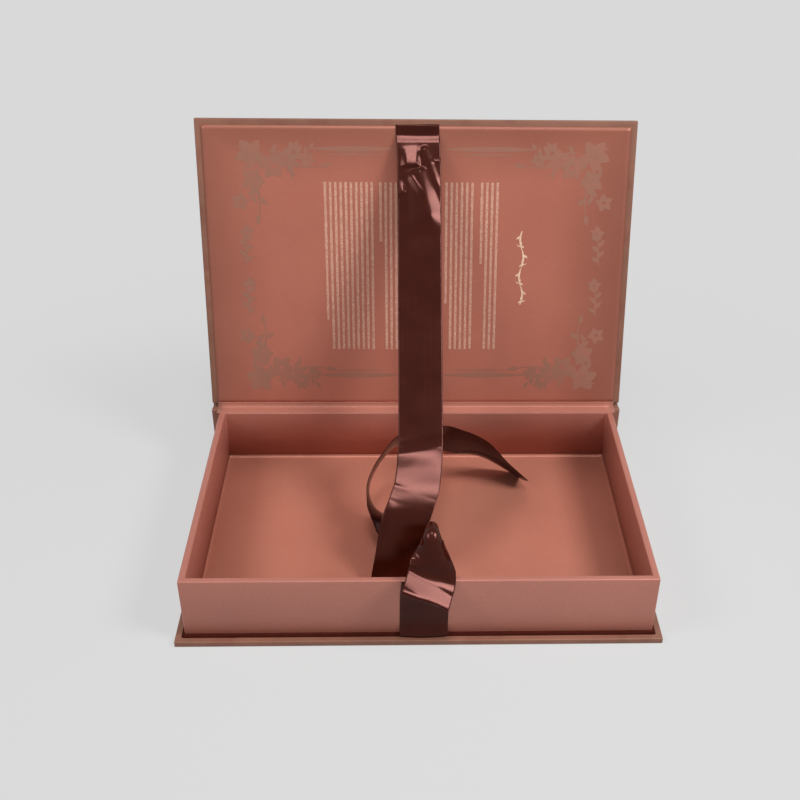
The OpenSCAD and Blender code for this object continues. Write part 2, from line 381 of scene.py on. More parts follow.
def board_material(name, dark, light, scale):
    """Greyboard, kraft tape, or the dark strip of painted shadow at the tray's foot: short pressed fibres.
    """
    fibre_stretch = 3.0
    material, nodes, links, shader = new_material(name)
    place = object_place(nodes)
    stretched = nodes.new("ShaderNodeMapping")
    stretched.inputs["Scale"].default_value = (1.0, fibre_stretch, fibre_stretch)
    links.new(place, stretched.inputs["Vector"])
    fibre = noise_at(nodes, links, stretched.outputs["Vector"], scale, 6.0, 0.7)
    links.new(
        colour_ramp(nodes, links, fibre.outputs["Fac"], [(0.35, dark), (0.65, light)]),
        shader.inputs["Base Color"],
    )
    add_bump(nodes, links, shader, fibre.outputs["Fac"], 0.4, 0.08 * MM)
    shader.inputs["Roughness"].default_value = 0.9
    return material


shaded_floor_paper = pearl_paper(
    "floor_pearl_paper_painted_shade",
    (0.47, 0.172, 0.116),
    (0.53, 0.202, 0.138),
    # Painted shade beside the side walls, where their shadow falls on the floor
    shade=(0.0, Vector((0, 0, 0)), [("X", 78 * MM, 116 * MM)], (0.70, 0.66, 0.64)),
)
# The floor's pearl paper made darker and a touch bluer for the tray's wrap: painted shade on the walls and a
# painted tint of the pale floor's reflection on the front
shaded_tray_paper = pearl_paper("tray_pearl_paper_painted_shade", (0.43, 0.160, 0.118), (0.49, 0.188, 0.140))
liner_paper = pearl_paper(
    "liner_pearl_paper",
    (0.425, 0.132, 0.087),
    (0.483, 0.159, 0.106),
    # The liner's colour darkens softly towards its top and side edges
    shade=(
        LEAN,
        on_lid(-4 * MM, 67 * MM),
        [("X", 78 * MM, 128 * MM), ("Z", 62 * MM, 106 * MM)],
        (0.66, 0.66, 0.62),
    ),
)
strip_paper = pearl_paper("hinge_pearl_paper", (0.47, 0.184, 0.132), (0.53, 0.216, 0.157))
outer_paper = cover_paper("cover_brown_paper")
grey_print = print_ink(
    "border_print", (0.315, 0.140, 0.094), (0.355, 0.136, 0.092), 160.0, 0.15
)
light_print = print_ink("ruled_print", (0.66, 0.36, 0.26), (0.48, 0.22, 0.16), 900.0)
cream_print = print_ink("flourish_print", (0.85, 0.62, 0.44), (0.68, 0.40, 0.28), 700.0)
dark_satin = satin("dark_brown_satin")
greyboard = board_material("greyboard", (0.20, 0.18, 0.155), (0.33, 0.30, 0.26), 500.0)
kraft = board_material("kraft_tape", (0.40, 0.26, 0.14), (0.52, 0.36, 0.20), 700.0)
# Near-black finish of the painted shadow strip at the tray's foot
shadow_strip_finish = board_material("dark_painted_shadow", (0.040, 0.005, 0.002), (0.060, 0.009, 0.005), 300.0)
shadow_strip_finish.node_tree.nodes["Principled BSDF"].inputs["Specular IOR Level"].default_value = 0.1


def dress_boards():
    """The boards and corner tapes inside keep their solids and get their own finish."""
    for node, solid in frame["nodes"].items():
        finish = kraft if node.startswith("corner_tape") else greyboard
        if node.endswith("_board") or node.startswith("corner_tape"):
            solid.data.materials.clear()
            solid.data.materials.append(finish)


# Cover, tray and lid papers


def cover_wrap():
    """One wrap round the base board and up the spine: an L drawn from the side, rounded at its folds."""
    bm = bmesh.new()
    inner_y = spine_back - (base_high.z - base_low.z)
    spine_top = rim + PAPER
    corners = [
        (base_low.y, base_low.z),
        (spine_back, base_low.z),
        (spine_back, spine_top),
        (inner_y, spine_top),
        (inner_y, base_high.z),
        (base_low.y, base_high.z),
    ]
    side = bm.faces.new([bm.verts.new((-cover_x, y, z)) for y, z in corners])
    grown = bmesh.ops.extrude_face_region(bm, geom=[side])["geom"]
    far = [v for v in grown if isinstance(v, bmesh.types.BMVert)]
    bmesh.ops.translate(bm, vec=(2 * cover_x, 0, 0), verts=far)
    bmesh.ops.recalc_face_normals(bm, faces=bm.faces[:])
    bm.normal_update()
    round_edges(bm, [e for e in bm.edges if e.is_convex], EDGE_ROUND, 4)
    piece = make_piece("cover_wrap", bm, outer_paper, "tray")
    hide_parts("base_wrap", "spine_wrap")
    paper_skin(piece)


def tray_wrap():
    """Outside, rim and inside of the tray in one folded paper, turned in under its edges."""
    bm = bmesh.new()
    block(bm, tray_low, tray_high)
    bm.normal_update()
    top = next(f for f in bm.faces if f.normal.z > 0.5)
    under = next(f for f in bm.faces if f.normal.z < -0.5)
    bmesh.ops.inset_region(bm, faces=[top], thickness=WALL, use_even_offset=True)
    grown = bmesh.ops.extrude_face_region(bm, geom=[top])["geom"]
    sunk = [v for v in grown if isinstance(v, bmesh.types.BMVert)]
    bmesh.ops.translate(bm, vec=(0, 0, panel_low.z - rim), verts=sunk)
    hollow = [f for f in grown if isinstance(f, bmesh.types.BMFace)]
    bmesh.ops.inset_region(bm, faces=[under], thickness=TURN_IN, use_even_offset=True)
    bmesh.ops.delete(bm, geom=hollow + [under], context="FACES")
    if top.is_valid:
        bmesh.ops.delete(bm, geom=[top], context="FACES")
    bmesh.ops.recalc_face_normals(bm, faces=bm.faces[:])
    bm.normal_update()
    foot = [
        e
        for e in bm.edges
        if is_fold(e) and all(near(v.co.z, tray_low.z) for v in e.verts)
    ]
    round_edges(bm, foot, EDGE_ROUND, 4)
    bm.normal_update()
    inner = [
        e
        for e in bm.edges
        if e.is_manifold
        and all(
            near(abs(v.co.x), tray_high.x - WALL) and v.co.z > tray_low.z + MM
            for v in e.verts
        )
        and abs(e.verts[0].co.z - e.verts[1].co.z) > MM
    ]
    outer = [e for e in bm.edges if is_fold(e) and e not in inner]
    round_edges(bm, outer + inner, EDGE_ROUND, 4)
    bmesh.ops.recalc_face_normals(bm, faces=bm.faces[:])
    piece = make_piece("tray_wrap_paper", bm, shaded_tray_paper, "tray")
    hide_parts("tray_wrap")
    paper_skin(piece)


def foot_shadow_strip():
    """A dark strip in the corner between the tray's foot and the cover: painted shadow for the gap under the
    tray.
    """
    sink, tuck, back_gap, corner_round, film = 0.02 * MM, 0.05 * MM, 0.3 * MM, MM, 0.3 * MM
    bm = bmesh.new()
    out = Vector((SHADOW_STRIP_OUT, SHADOW_STRIP_OUT, 0))
    low = Vector((tray_low.x, tray_low.y, base_high.z - sink)) - out
    high = Vector((tray_high.x + SHADOW_STRIP_OUT, tray_high.y - back_gap, tray_low.z + SHADOW_STRIP_HIGH))
    block(bm, low, high)
    bm.normal_update()
    ends = [f for f in bm.faces if abs(f.normal.z) > 0.5 or f.normal.y > 0.5]
    top_verts = next(f for f in ends if f.normal.z > 0.5).verts[:]
    uprights = [e for e in bm.edges if not near(e.verts[0].co.z, e.verts[1].co.z)]
    corners = [e for e in uprights if near(e.verts[0].co.y, low.y)]
    bmesh.ops.delete(bm, geom=ends, context="FACES_ONLY")
    for v in top_verts:
        v.co.x = math.copysign(tray_high.x - tuck, v.co.x)
        if v.co.y < 0:
            v.co.y = tray_low.y + tuck
    round_edges(bm, corners, corner_round, 4)
    face_towards(bm, Vector((0, -1, 0)))
    piece = make_piece("foot_shadow_strip", bm, shadow_strip_finish, "tray")
    paper_skin(piece, film)


def floor_lining():
    """The floor panel's paper, which curves up a little where it is pressed against the walls."""
    bm = bmesh.new()
    rise = 1.5 * MM
    fillet = 1.3 * MM
    middle = (panel_low + panel_high) / 2
    size = panel_high - panel_low
    made = bmesh.ops.create_grid(bm, x_segments=1, y_segments=1, size=0.5)
    bmesh.ops.scale(bm, vec=(size.x, size.y, 1), verts=made["verts"])
    bmesh.ops.translate(bm, vec=(middle.x, middle.y, floor_top), verts=made["verts"])
    grown = bmesh.ops.extrude_edge_only(bm, edges=bm.edges[:])["geom"]
    raised = [v for v in grown if isinstance(v, bmesh.types.BMVert)]
    bmesh.ops.translate(bm, vec=(0, 0, rise), verts=raised)
    bmesh.ops.recalc_face_normals(bm, faces=bm.faces[:])
    folds = [e for e in bm.edges if e.is_manifold]
    round_edges(bm, folds, fillet, 5)
    face_towards(bm, Vector((0, 0, 1)))
    piece = make_piece("floor_lining", bm, shaded_floor_paper, "tray")
    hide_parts("tray_floor_panel")
    paper_skin(piece)


def lid_wrap():
    """Outer paper of the lid board with its margins turned in behind the liner."""
    bm = bmesh.new()
    block(bm, Vector((-cover_x, PAPER, HINGE_GAP - PAPER)), Vector((cover_x, LID_THICK, lid_top)))
    bm.normal_update()
    inside = next(f for f in bm.faces if f.normal.y < -0.5)
    bmesh.ops.inset_region(bm, faces=[inside], thickness=TURN_IN, use_even_offset=True)
    bmesh.ops.delete(bm, geom=[inside], context="FACES")
    round_edges(bm, [e for e in bm.edges if is_fold(e)], EDGE_ROUND, 4)
    for v in bm.verts:
        v.co = on_lid(v.co.x, v.co.z, v.co.y)
    bmesh.ops.recalc_face_normals(bm, faces=bm.faces[:])
    bm.normal_update()
    middle = on_lid(0, lid_top / 2, LID_THICK / 2)
    if sum((f.calc_center_median() - middle).dot(f.normal) for f in bm.faces) < 0:
        bmesh.ops.reverse_faces(bm, faces=bm.faces[:])
    piece = make_piece("lid_wrap_paper", bm, outer_paper, "lid")
    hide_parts("lid_wrap")
    paper_skin(piece)


def liner_lift(x, up):
    """How far the liner stands out over the ribbon's glued end."""
    ribbon_x, fade_across, fade_along, highest = MM, 7 * MM, 8 * MM, 0.1 * MM
    across = max(0.0, 1 - max(0.0, abs(x - ribbon_x) - RIBBON_W / 2) / fade_across)
    along = max(0.0, 1 - max(0.0, liner_top - TAB_LEN - up) / fade_along)
    ease = across * across * (3 - 2 * across) * along * along * (3 - 2 * along)
    return highest * ease


def lid_liner():
    """Pearl paper liner of the lid."""
    bm = bmesh.new()
    made = bmesh.ops.create_grid(bm, x_segments=96, y_segments=64, size=0.5)
    for v in made["verts"]:
        x = v.co.x * 2 * liner_x
        up = HINGE_GAP + (v.co.y + 0.5) * (liner_top - HINGE_GAP)
        v.co = on_lid(x, up, -liner_lift(x, up))
    face_towards(bm, Vector((0, -1, 0)))
    piece = make_piece("lid_liner_paper", bm, liner_paper, "lid")
    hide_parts("lid_liner")
    paper_skin(piece)


# Hinge papers


def rounded_line(points, spacing):
    """A smooth line through points, evenly spaced along it. A point is x, y, z and any values it carries."""
    dense, steps, last = [], 20, len(points) - 1
    for i in range(last):
        before, start = points[max(i - 1, 0)], points[i]
        end, after = points[i + 1], points[min(i + 2, last)]
        for k in range(steps):
            t = k / steps
            dense.append(
                [
                    b
                    + 0.5 * t * (c - a)
                    + t * t * (a - 2.5 * b + 2 * c - 0.5 * d)
                    + t * t * t * (1.5 * b - 0.5 * a - 1.5 * c + 0.5 * d)
                    for a, b, c, d in zip(before, start, end, after)
                ]
            )
    dense.append(list(points[last]))
    lengths = [0.0]
    for a, b in zip(dense, dense[1:]):
        lengths.append(lengths[-1] + math.dist(a[:3], b[:3]))
    count = max(2, round(lengths[-1] / spacing))
    even, k = [], 0
    for i in range(count + 1):
        goal = lengths[-1] * i / count
        while k < len(lengths) - 2 and lengths[k + 1] < goal:
            k += 1
        share = (goal - lengths[k]) / ((lengths[k + 1] - lengths[k]) or 1.0)
        share = min(1.0, max(0.0, share))
        even.append([a + (b - a) * share for a, b in zip(dense[k], dense[k + 1])])
    return even, lengths[-1]


def hinge_paper(name, material, node, profile, half):
    """A bent strip of paper across the hinge, drawn from its side profile."""
    spacing = 0.25 * MM
    line, _ = rounded_line(profile, spacing)
    bm = bmesh.new()
    rows = len(line) - 1
    made = bmesh.ops.create_grid(bm, x_segments=40, y_segments=rows, size=0.5)
    for v in made["verts"]:
        p = line[round((v.co.y + 0.5) * rows)]
        v.co = Vector((v.co.x * 2 * half, p[1], p[2]))
    bmesh.ops.recalc_face_normals(bm, faces=bm.faces[:])
    piece = make_piece(name, bm, material, None)
    paper_skin(piece, PAPER, 0.0)
    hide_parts(node)
    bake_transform(piece)


def hinge_papers():
    level = rim + 0.12 * MM
    inner = [
        Vector((0, tray_high.y - WALL + 0.25 * MM, rim - 0.02 * MM)),
        Vector((0, tray_high.y - WALL + 0.8 * MM, level)),
        Vector((0, spine_back - 1.2 * MM, level)),
        Vector((0, spine_back - 0.3 * MM, level - 0.1 * MM)),
        Vector((0, spine_back + 0.4 * MM, level - 0.55 * MM)),
        Vector((0, spine_back + 0.9 * MM, level - 0.3 * MM)),
        on_lid(0, 0.9 * MM, 0.2 * MM),
        on_lid(0, HINGE_GAP, 0.1 * MM),
        on_lid(0, HINGE_GAP + 0.6 * MM, 0.1 * MM),
    ]
    hinge_paper(
        "hinge_inner_strip",
        strip_paper,
        "hinge_inner_paper",
        inner,
        liner_x,
    )
    outer = [
        Vector((0, spine_back + 0.02 * MM, rim - 3.2 * MM)),
        Vector((0, spine_back + 0.05 * MM, rim - 1.6 * MM)),
        Vector((0, spine_back + 0.5 * MM, rim - 0.85 * MM)),
        Vector((0, spine_back + 1.7 * MM, rim - 0.6 * MM)),
        on_lid(0, 0.0, 3.0 * MM),
        on_lid(0, HINGE_GAP - 0.6 * MM, LID_THICK - 0.02 * MM),
        on_lid(0, HINGE_GAP + 1.0 * MM, LID_THICK + 0.06 * MM),
        on_lid(0, HINGE_GAP + 3.0 * MM, LID_THICK + 0.02 * MM),
    ]
    hinge_paper(
        "hinge_outer_strip",
        outer_paper,
        "hinge_outer_paper",
        outer,
        cover_x - 0.3 * MM,
    )


# Print on the liner


def flat_shape(bm, points, lift):
    """A printed shape, from points given across and up the lid, just off the liner's face.
    Each lies a hair above the one before; the rise starts over after every 80 faces."""
    hair, layers = 0.001 * MM, 80
    lift += hair * (len(bm.faces) % layers)
    verts = [bm.verts.new(on_lid(x, up, -lift - liner_lift(x, up))) for x, up in points]
    face = bm.faces.new(verts)
    face.normal_update()
    if face.normal.y > 0:
        face.normal_flip()


def turned(point, angle, origin):
    c, s = math.cos(angle), math.sin(angle)
    return (
        origin[0] + point[0] * c - point[1] * s,
        origin[1] + point[0] * s + point[1] * c,
    )


def leaf(origin, angle, length, width):
    """A pointed leaf outline."""
    steps = 8
    top = [
        (length * i / steps, width * math.sin(math.pi * (i / steps) ** 0.8))
        for i in range(steps + 1)
    ]
    outline = top + [(x, -y * 0.8) for x, y in reversed(top[1:-1])]
    return [turned(p, angle, origin) for p in outline]


def stroke(start, angle, length, turn_a, turn_b):
    """Places and headings along a stem that curls as it goes."""
    steps = 18
    x, y = start
    line = []
    for i in range(steps + 1):
        line.append((x, y, angle))
        share = i / steps
        angle += (turn_a + (turn_b - turn_a) * share) / steps
        x += math.cos(angle) * length / steps
        y += math.sin(angle) * length / steps
    return line


def stroke_shapes(line, width):
    """The outline of a stem, thick in the middle and thin at the ends."""
    last = len(line) - 1
    left, right = [], []
    for i, (x, y, a) in enumerate(line):
        half = width / 2 * (0.35 + 0.65 * math.sin(math.pi * (i / last) ** 0.7))
        left.append((x - math.sin(a) * half, y + math.cos(a) * half))
        right.append((x + math.sin(a) * half, y - math.cos(a) * half))
    return [left + right[::-1]]


def blossom(origin, size, turn=0.0):
    """Five broad petals round a small gap."""
    shapes = []
    for i in range(5):
        angle = turn + 2 * math.pi * i / 5
        base = turned((size * 0.12, 0), angle, origin)
        shapes.append(leaf(base, angle, size * 0.88, size * 0.36))
    return shapes


def leafy_stem(start, angle, length, turn_a, turn_b, width, leaf_length):
    """A curling stem with leaves on alternate sides and one at its tip."""
    line = stroke(start, angle, length, turn_a, turn_b)
    shapes = stroke_shapes(line, width)
    for k in range(2, len(line) - 2, 3):
        x, y, heading = line[k]
        side = 1 if (k // 3) % 2 else -1
        shapes.append(leaf((x, y), heading + side * 0.8, leaf_length, leaf_length * 0.26))
    x, y, heading = line[-1]
    shapes.append(leaf((x, y), heading, leaf_length, leaf_length * 0.24))
    return shapes


def spray():
    """One corner spray in millimetres, growing right and up from its corner at 0, 0."""
    shapes = []
    for stem in (
        ((4, 6), 0.30, 50, 0.4, -1.4, 1.8, 7.0),
        ((6, 4), 1.25, 42, -0.5, 1.6, 1.8, 6.5),
        ((10, 8), 0.85, 30, -1.4, -2.2, 1.5, 6.5),
        ((22, 9), -0.3, 20, 1.4, 2.4, 1.4, 5.5),
        ((8, 20), 0.5, 20, 1.6, 2.4, 1.4, 5.5),
        ((30, 10), 0.6, 18, -1.2, -2.0, 1.2, 5.0),
    ):
        shapes += leafy_stem(*stem)
    for place, size, turn in (
        ((12, 10), 9.5, 0.3),
        ((25, 17), 8.0, 0.9),
        ((13, 25), 7.5, 0.1),
        ((37, 9), 6.5, 0.6),
        ((5, 37), 5.5, 1.1),
        ((45, 13), 4.5, 0.2),
    ):
        shapes += blossom(place, size, turn)
    return shapes


def side_sprig():
    """A small sprig that runs up the sides, centred at 0, 0."""
    shapes = leafy_stem((-1, -9), 1.3, 19, 0.9, -0.9, 1.2, 5.5)
    return shapes + blossom((1, 10), 4.5, 0.4)


def bar(x0, x1, y, width):
    """A long tapered bar."""
    steps = 14
    top = [
        (x0 + (x1 - x0) * i / steps, y + width / 2 * (0.25 + 0.75 * math.sin(math.pi * i / steps)))
        for i in range(steps + 1)
    ]
    low = [(x, 2 * y - h) for x, h in reversed(top)]
    return top + low


def liner_border():
    """Scrolling leaf sprays in the liner's corners, joined by tapered bars, printed tone on tone."""
    bm = bmesh.new()
    lift = 0.03 * MM
    left, right, low, high = -108.0, 115.0, 8.0, 162.0
    sprig_heights, sprig_inset = (66.0, 97.0), 7
    bar_rows, bar_spans = ((155.0, -1), (20.0, 1)), ((-62, -10), (16, 68))
    wide, narrow, apart = 3.0, 1.1, 3.0
    sprays, sprig = spray(), side_sprig()

    def put(shape, place):
        flat_shape(bm, [tuple(c * MM for c in place(p)) for p in shape], lift)

    for corner_x, sx in ((left, 1), (right, -1)):
        for corner_y, sy in ((low, 1), (high, -1)):
            for shape in sprays:
                put(shape, lambda p: (corner_x + sx * p[0], corner_y + sy * p[1]))
        for at in sprig_heights:
            for shape in sprig:
                put(shape, lambda p: (corner_x + sx * (sprig_inset + p[0]), at + p[1]))
    for y, inward in bar_rows:
        for x0, x1 in bar_spans:
            put(bar(x0, x1, y, wide), lambda p: p)
            put(bar(x0 + 6, x1 - 10, y + inward * apart, narrow), lambda p: p)
    make_piece("liner_border_print", bm, grey_print, "lid", smooth=False)


def ruled_lines():
    """Four groups of fine upright ruled lines printed in light copper."""
    bm = bmesh.new()
    lift = 0.04 * MM
    top, low = 136.4, 36.6
    pitch, width, row_length, unevenness = 3.02, 1.5, 2.2, 0.35
    groups = ((-53.6, 10, 55.0), (-21.4, 4, 102.0), (17.2, 6, 65.0), (38.0, 4, 89.0))
    for x0, count, first_end in groups:
        for i in range(count):
            x = x0 + i * pitch
            end = first_end if i == 0 else low
            rows = max(2, round((top - end) / row_length))
            for k in range(rows):
                a, b = top + (end - top) * k / rows, top + (end - top) * (k + 1) / rows
                wide = [
                    width / 2 * (1 + unevenness * noise.noise(Vector((x * 0.7, y * 0.9, 0))))
                    for y in (a, b)
                ]
                flat_shape(
                    bm,
                    [
                        ((x - wide[0]) * MM, a * MM),
                        ((x + wide[0]) * MM, a * MM),
                        ((x + wide[1]) * MM, b * MM),
                        ((x - wide[1]) * MM, b * MM),
                    ],
                    lift,
                )
    make_piece("liner_ruled_lines", bm, light_print, "lid", smooth=False)


def upright_flourish():
    """A small upright vine flourish beside the ruled lines."""
    bm = bmesh.new()
    lift = 0.04 * MM
    shapes = []
    place, heading, swing, reach = (62.3, 108.5), -math.pi / 2 - 0.4, 0.8, 11.4
    stem_width, tendril_width = 1.05, 0.75
    for i in range(4):
        side = 1 if i % 2 == 0 else -1
        line = stroke(place, heading, reach, side * swing, side * swing)
        shapes += stroke_shapes(line, stem_width)
        x, y, heading = line[-1]
        place = (x, y)
        tendril = stroke(line[9][:2], line[9][2] + side * 0.7, 6.0, -side * 1.0, -side * 7.0)
        shapes += stroke_shapes(tendril, tendril_width)
        shapes.append(leaf(line[5][:2], line[5][2] - side * 0.8, 3.2, 0.75))
        shapes.append(leaf(line[14][:2], line[14][2] + side * 0.8, 2.6, 0.6))
    for shape in shapes:
        flat_shape(bm, [tuple(q * MM for q in p) for p in shape], lift)
    make_piece("liner_flourish", bm, cream_print, "lid", smooth=False)


# Ribbons


def crease_height(creases, s, v):
    """Height of the pressed folds at s along and v across the ribbon, both in millimetres.

    A fold runs from s0, v0 to s1, v1 and falls away over its own width on either side of that line:
    a gentle side catches the light and a short side stays dark. It starts with a share of its full
    height and width and grows along its line."""
    total, crest, foot, gone, near_fade, far_share = 0.0, 0.14, 0.1, -3, 3.0, 0.35
    for s0, v0, s1, v1, height, before, after, first in creases:
        ds, dv = s1 - s0, v1 - v0
        length = math.hypot(ds, dv)
        t = ((s - s0) * ds + (v - v0) * dv) / length**2
        off = ((s - s0) * dv - (v - v0) * ds) / length
        if not 0 < t < 1:
            continue
        grown = first + (1 - first) * t
        end = min(1.0, t * length / near_fade, (1 - t) / far_share)
        slope = 1 + crest - math.hypot(off / (after if off > 0 else before) / grown, crest)
        near_line = (slope + math.hypot(slope, foot)) / 2
        if slope > gone:
            total += height * grown * end * end * (3 - 2 * end) * near_line
    return total


def ribbon_sheet(name, stations, creases, ripple, seed, side=1):
    """A ribbon laid along stations: x, y, z in millimetres, then twist, tilt and curl in degrees,
    and how far its right edge drops below its left one. Its side is the one that folds stand out on."""
    spacing, columns, tab_clear, tab_fade = 0.62, 40, 6.0, 12.0
    line, length = rounded_line(stations, spacing)
    count = len(line) - 1
    bm = bmesh.new()
    layer = bm.loops.layers.uv.new("ribbon")
    made = bmesh.ops.create_grid(bm, x_segments=columns, y_segments=count, size=0.5)
    for face in bm.faces:
        for loop in face.loops:
            loop[layer].uv = (loop.vert.co.x + 0.5, loop.vert.co.y + 0.5)
    half = RIBBON_W / MM / 2
    least_curl, pinch_start, pinch_span, pinch_most = 0.01, 0.5, 2.5, 0.5
    soft_scale, fine_along, fine_across, fine_slant, fine_share = 0.05, 0.16, 0.14, 0.1, 0.12
    frames = []
    for i, (x, y, z, twist, tilt, curl, drop) in enumerate(line):
        along = Vector(line[min(i + 1, count)][:3]) - Vector(line[max(i - 1, 0)][:3])
        along.normalize()
        twist, tilt, curl = math.radians(twist), math.radians(tilt), math.radians(curl)
        want = Vector(
            (
                math.cos(twist),
                math.sin(twist) * math.cos(tilt),
                -math.sin(twist) * math.sin(tilt),
            )
        )
        across = (want - along * want.dot(along)).normalized()
        frames.append((Vector((x, y, z)), across, across.cross(along) * side, curl, drop))
    step = length / count
    for v in made["verts"]:
        i = round((v.co.y + 0.5) * count)
        share = v.co.x * 2
        centre, across, out, curl, drop = frames[i]
        wide, deep = half * share, 0.0
        if curl > least_curl:
            pinch = 1 - pinch_most * min(1.0, max(0.0, (curl - pinch_start) / pinch_span))
            wide = half * math.sin(curl * share) / curl * pinch
            deep = half * (1 - math.cos(curl * share)) / curl * pinch
        wide *= math.sqrt(1 - (drop / half / 2) ** 2)
        s, w = i * step, half * share
        soft_at = Vector((s * soft_scale + seed, w * soft_scale, seed))
        fine_at = Vector((s * fine_along + seed, w * fine_across + s * fine_slant, seed + 5))
        soft = noise.noise(soft_at) * ripple
        fine = noise.noise(fine_at) * ripple * fine_share
        past_tab = min(1.0, max(0.0, (s - TAB_LEN / MM - tab_clear) / tab_fade))
        flatter = max(0.0, 1 - curl)
        lift = (crease_height(creases, s, w) + (soft + fine) * past_tab) * flatter
        v.co = (centre + across * wide + out * (lift - deep) - Vector((0, 0, drop * share / 2))) * MM
    piece = make_piece(name, bm, dark_satin, None)
    skin = piece.modifiers.new("cloth thickness", "SOLIDIFY")
    skin.thickness = RIBBON_T * 0.6
    skin.offset = 0.0
    return piece, length * MM


def lid_station(x, up, out, curl=0):
    """A station on the open lid, in millimetres up from the hinge and out through the board."""
    p = on_lid(x * MM, up * MM, out * MM) / MM
    return [p.x, p.y, p.z, 0, 0, curl, 0]


def lid_ribbon():
    """Glued under the liner's top edge, turned over it, hanging in a slant and resting on the tray floor."""
    top = liner_top / MM
    stations = [
        lid_station(1, top - 20, 0.32),
        lid_station(0.6, top - 8, 0.32),
        lid_station(0.2, top - 0.6, 0.3),
        lid_station(0.2, top + 0.75, 0.0),
        lid_station(0.2, top - 0.2, -0.5),
        lid_station(0.2, top - 3.0, -0.45),
        lid_station(0.3, top - 5.0, -0.55),
        [0.5, 122.1, 195.3, 0, 0, 0, 0],
        [0.5, 121.5, 194.6, 0, 0, 0, 0],
        [0.8, 118.4, 190.7, 0, 0, 1, 0],
        [1, 113.6, 184.6, 0, 0, 3, 0],
        [1.1, 105, 173.6, 0, 0, 6, 0],
        [1.1, 95, 160.3, 0, 0, 6, 0],
        [1.2, 78, 139.5, 0, 0, 6, 0],
        [1.2, 60, 117.6, 0, 0, 6, 0],
        [1.3, 44, 100.6, 0, 0, 6, 0],
        [1.3, 28, 83.9, 0, 0, 5, 0],
        [1.2, 12, 68.6, 0, 0, 3, -0.6],
        [0.9, 4.0, 62.1, 0, 0, 0, -0.4],
        [0.2, -5.0, 56.0, 0, 0, 0, 0],
        [-1.0, -13.4, 50.4, 0, 0, 0, 0],
        [-2.6, -17.6, 47.35, 0, 0, 0, 0],
        [-4.2, -21.6, 44.2, 0, 0, 0, 0],
        [-5.9, -25.2, 41.0, 1, 0, 0, 0],
        [-8.0, -28.6, 36.9, 3, 0, 1, 0],
        [-9.3, -31.8, 32.0, 4, 0, 2, 0],
        [-10.6, -36.0, 25.5, 5, 0, 3, 0],
        [-12.0, -40.4, 18.8, 5, 0, 4, 0],
        [-13.4, -44.4, 12.6, 4, 0, 4, 0],
        [-14.1, -47.2, 9.6, 2, 0, 3, 0],
        [-14.8, -53.0, 8.4, 0, 0, 2, 0],
        [-15.0, -61.6, 8.0, 0, 0, 0, 0],
    ]
    creases = [
        (44.6, 1.5, 44.6, -11.5, 1.3, 1.4, 10.5, 1),
        (45.5, -0.2, 87, 8.8, 2.9, 8.4, 14.0, 0.45),
        (33, 2.6, 62, 12.7, 0.8, 2.1, 3.6, 1),
        (42.8, 5.5, 42.6, 22, 0.2, 1.3, 1.0, 1),
        (59.5, -6.5, 65.0, -24, 1.0, 1.5, 6.5, 1),
        (49.5, -5.5, 64, 3.6, 0.4, 1.2, 2.6, 1),
        (215, -22, 205, 22, -0.9, 7.0, 30.0, 1),
    ]
    piece, length = ribbon_sheet("lid_ribbon_satin", stations, creases, ripple=0.15, seed=3.0, side=-1)
    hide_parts("lid_ribbon", "lid_ribbon_tab")
    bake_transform(piece)


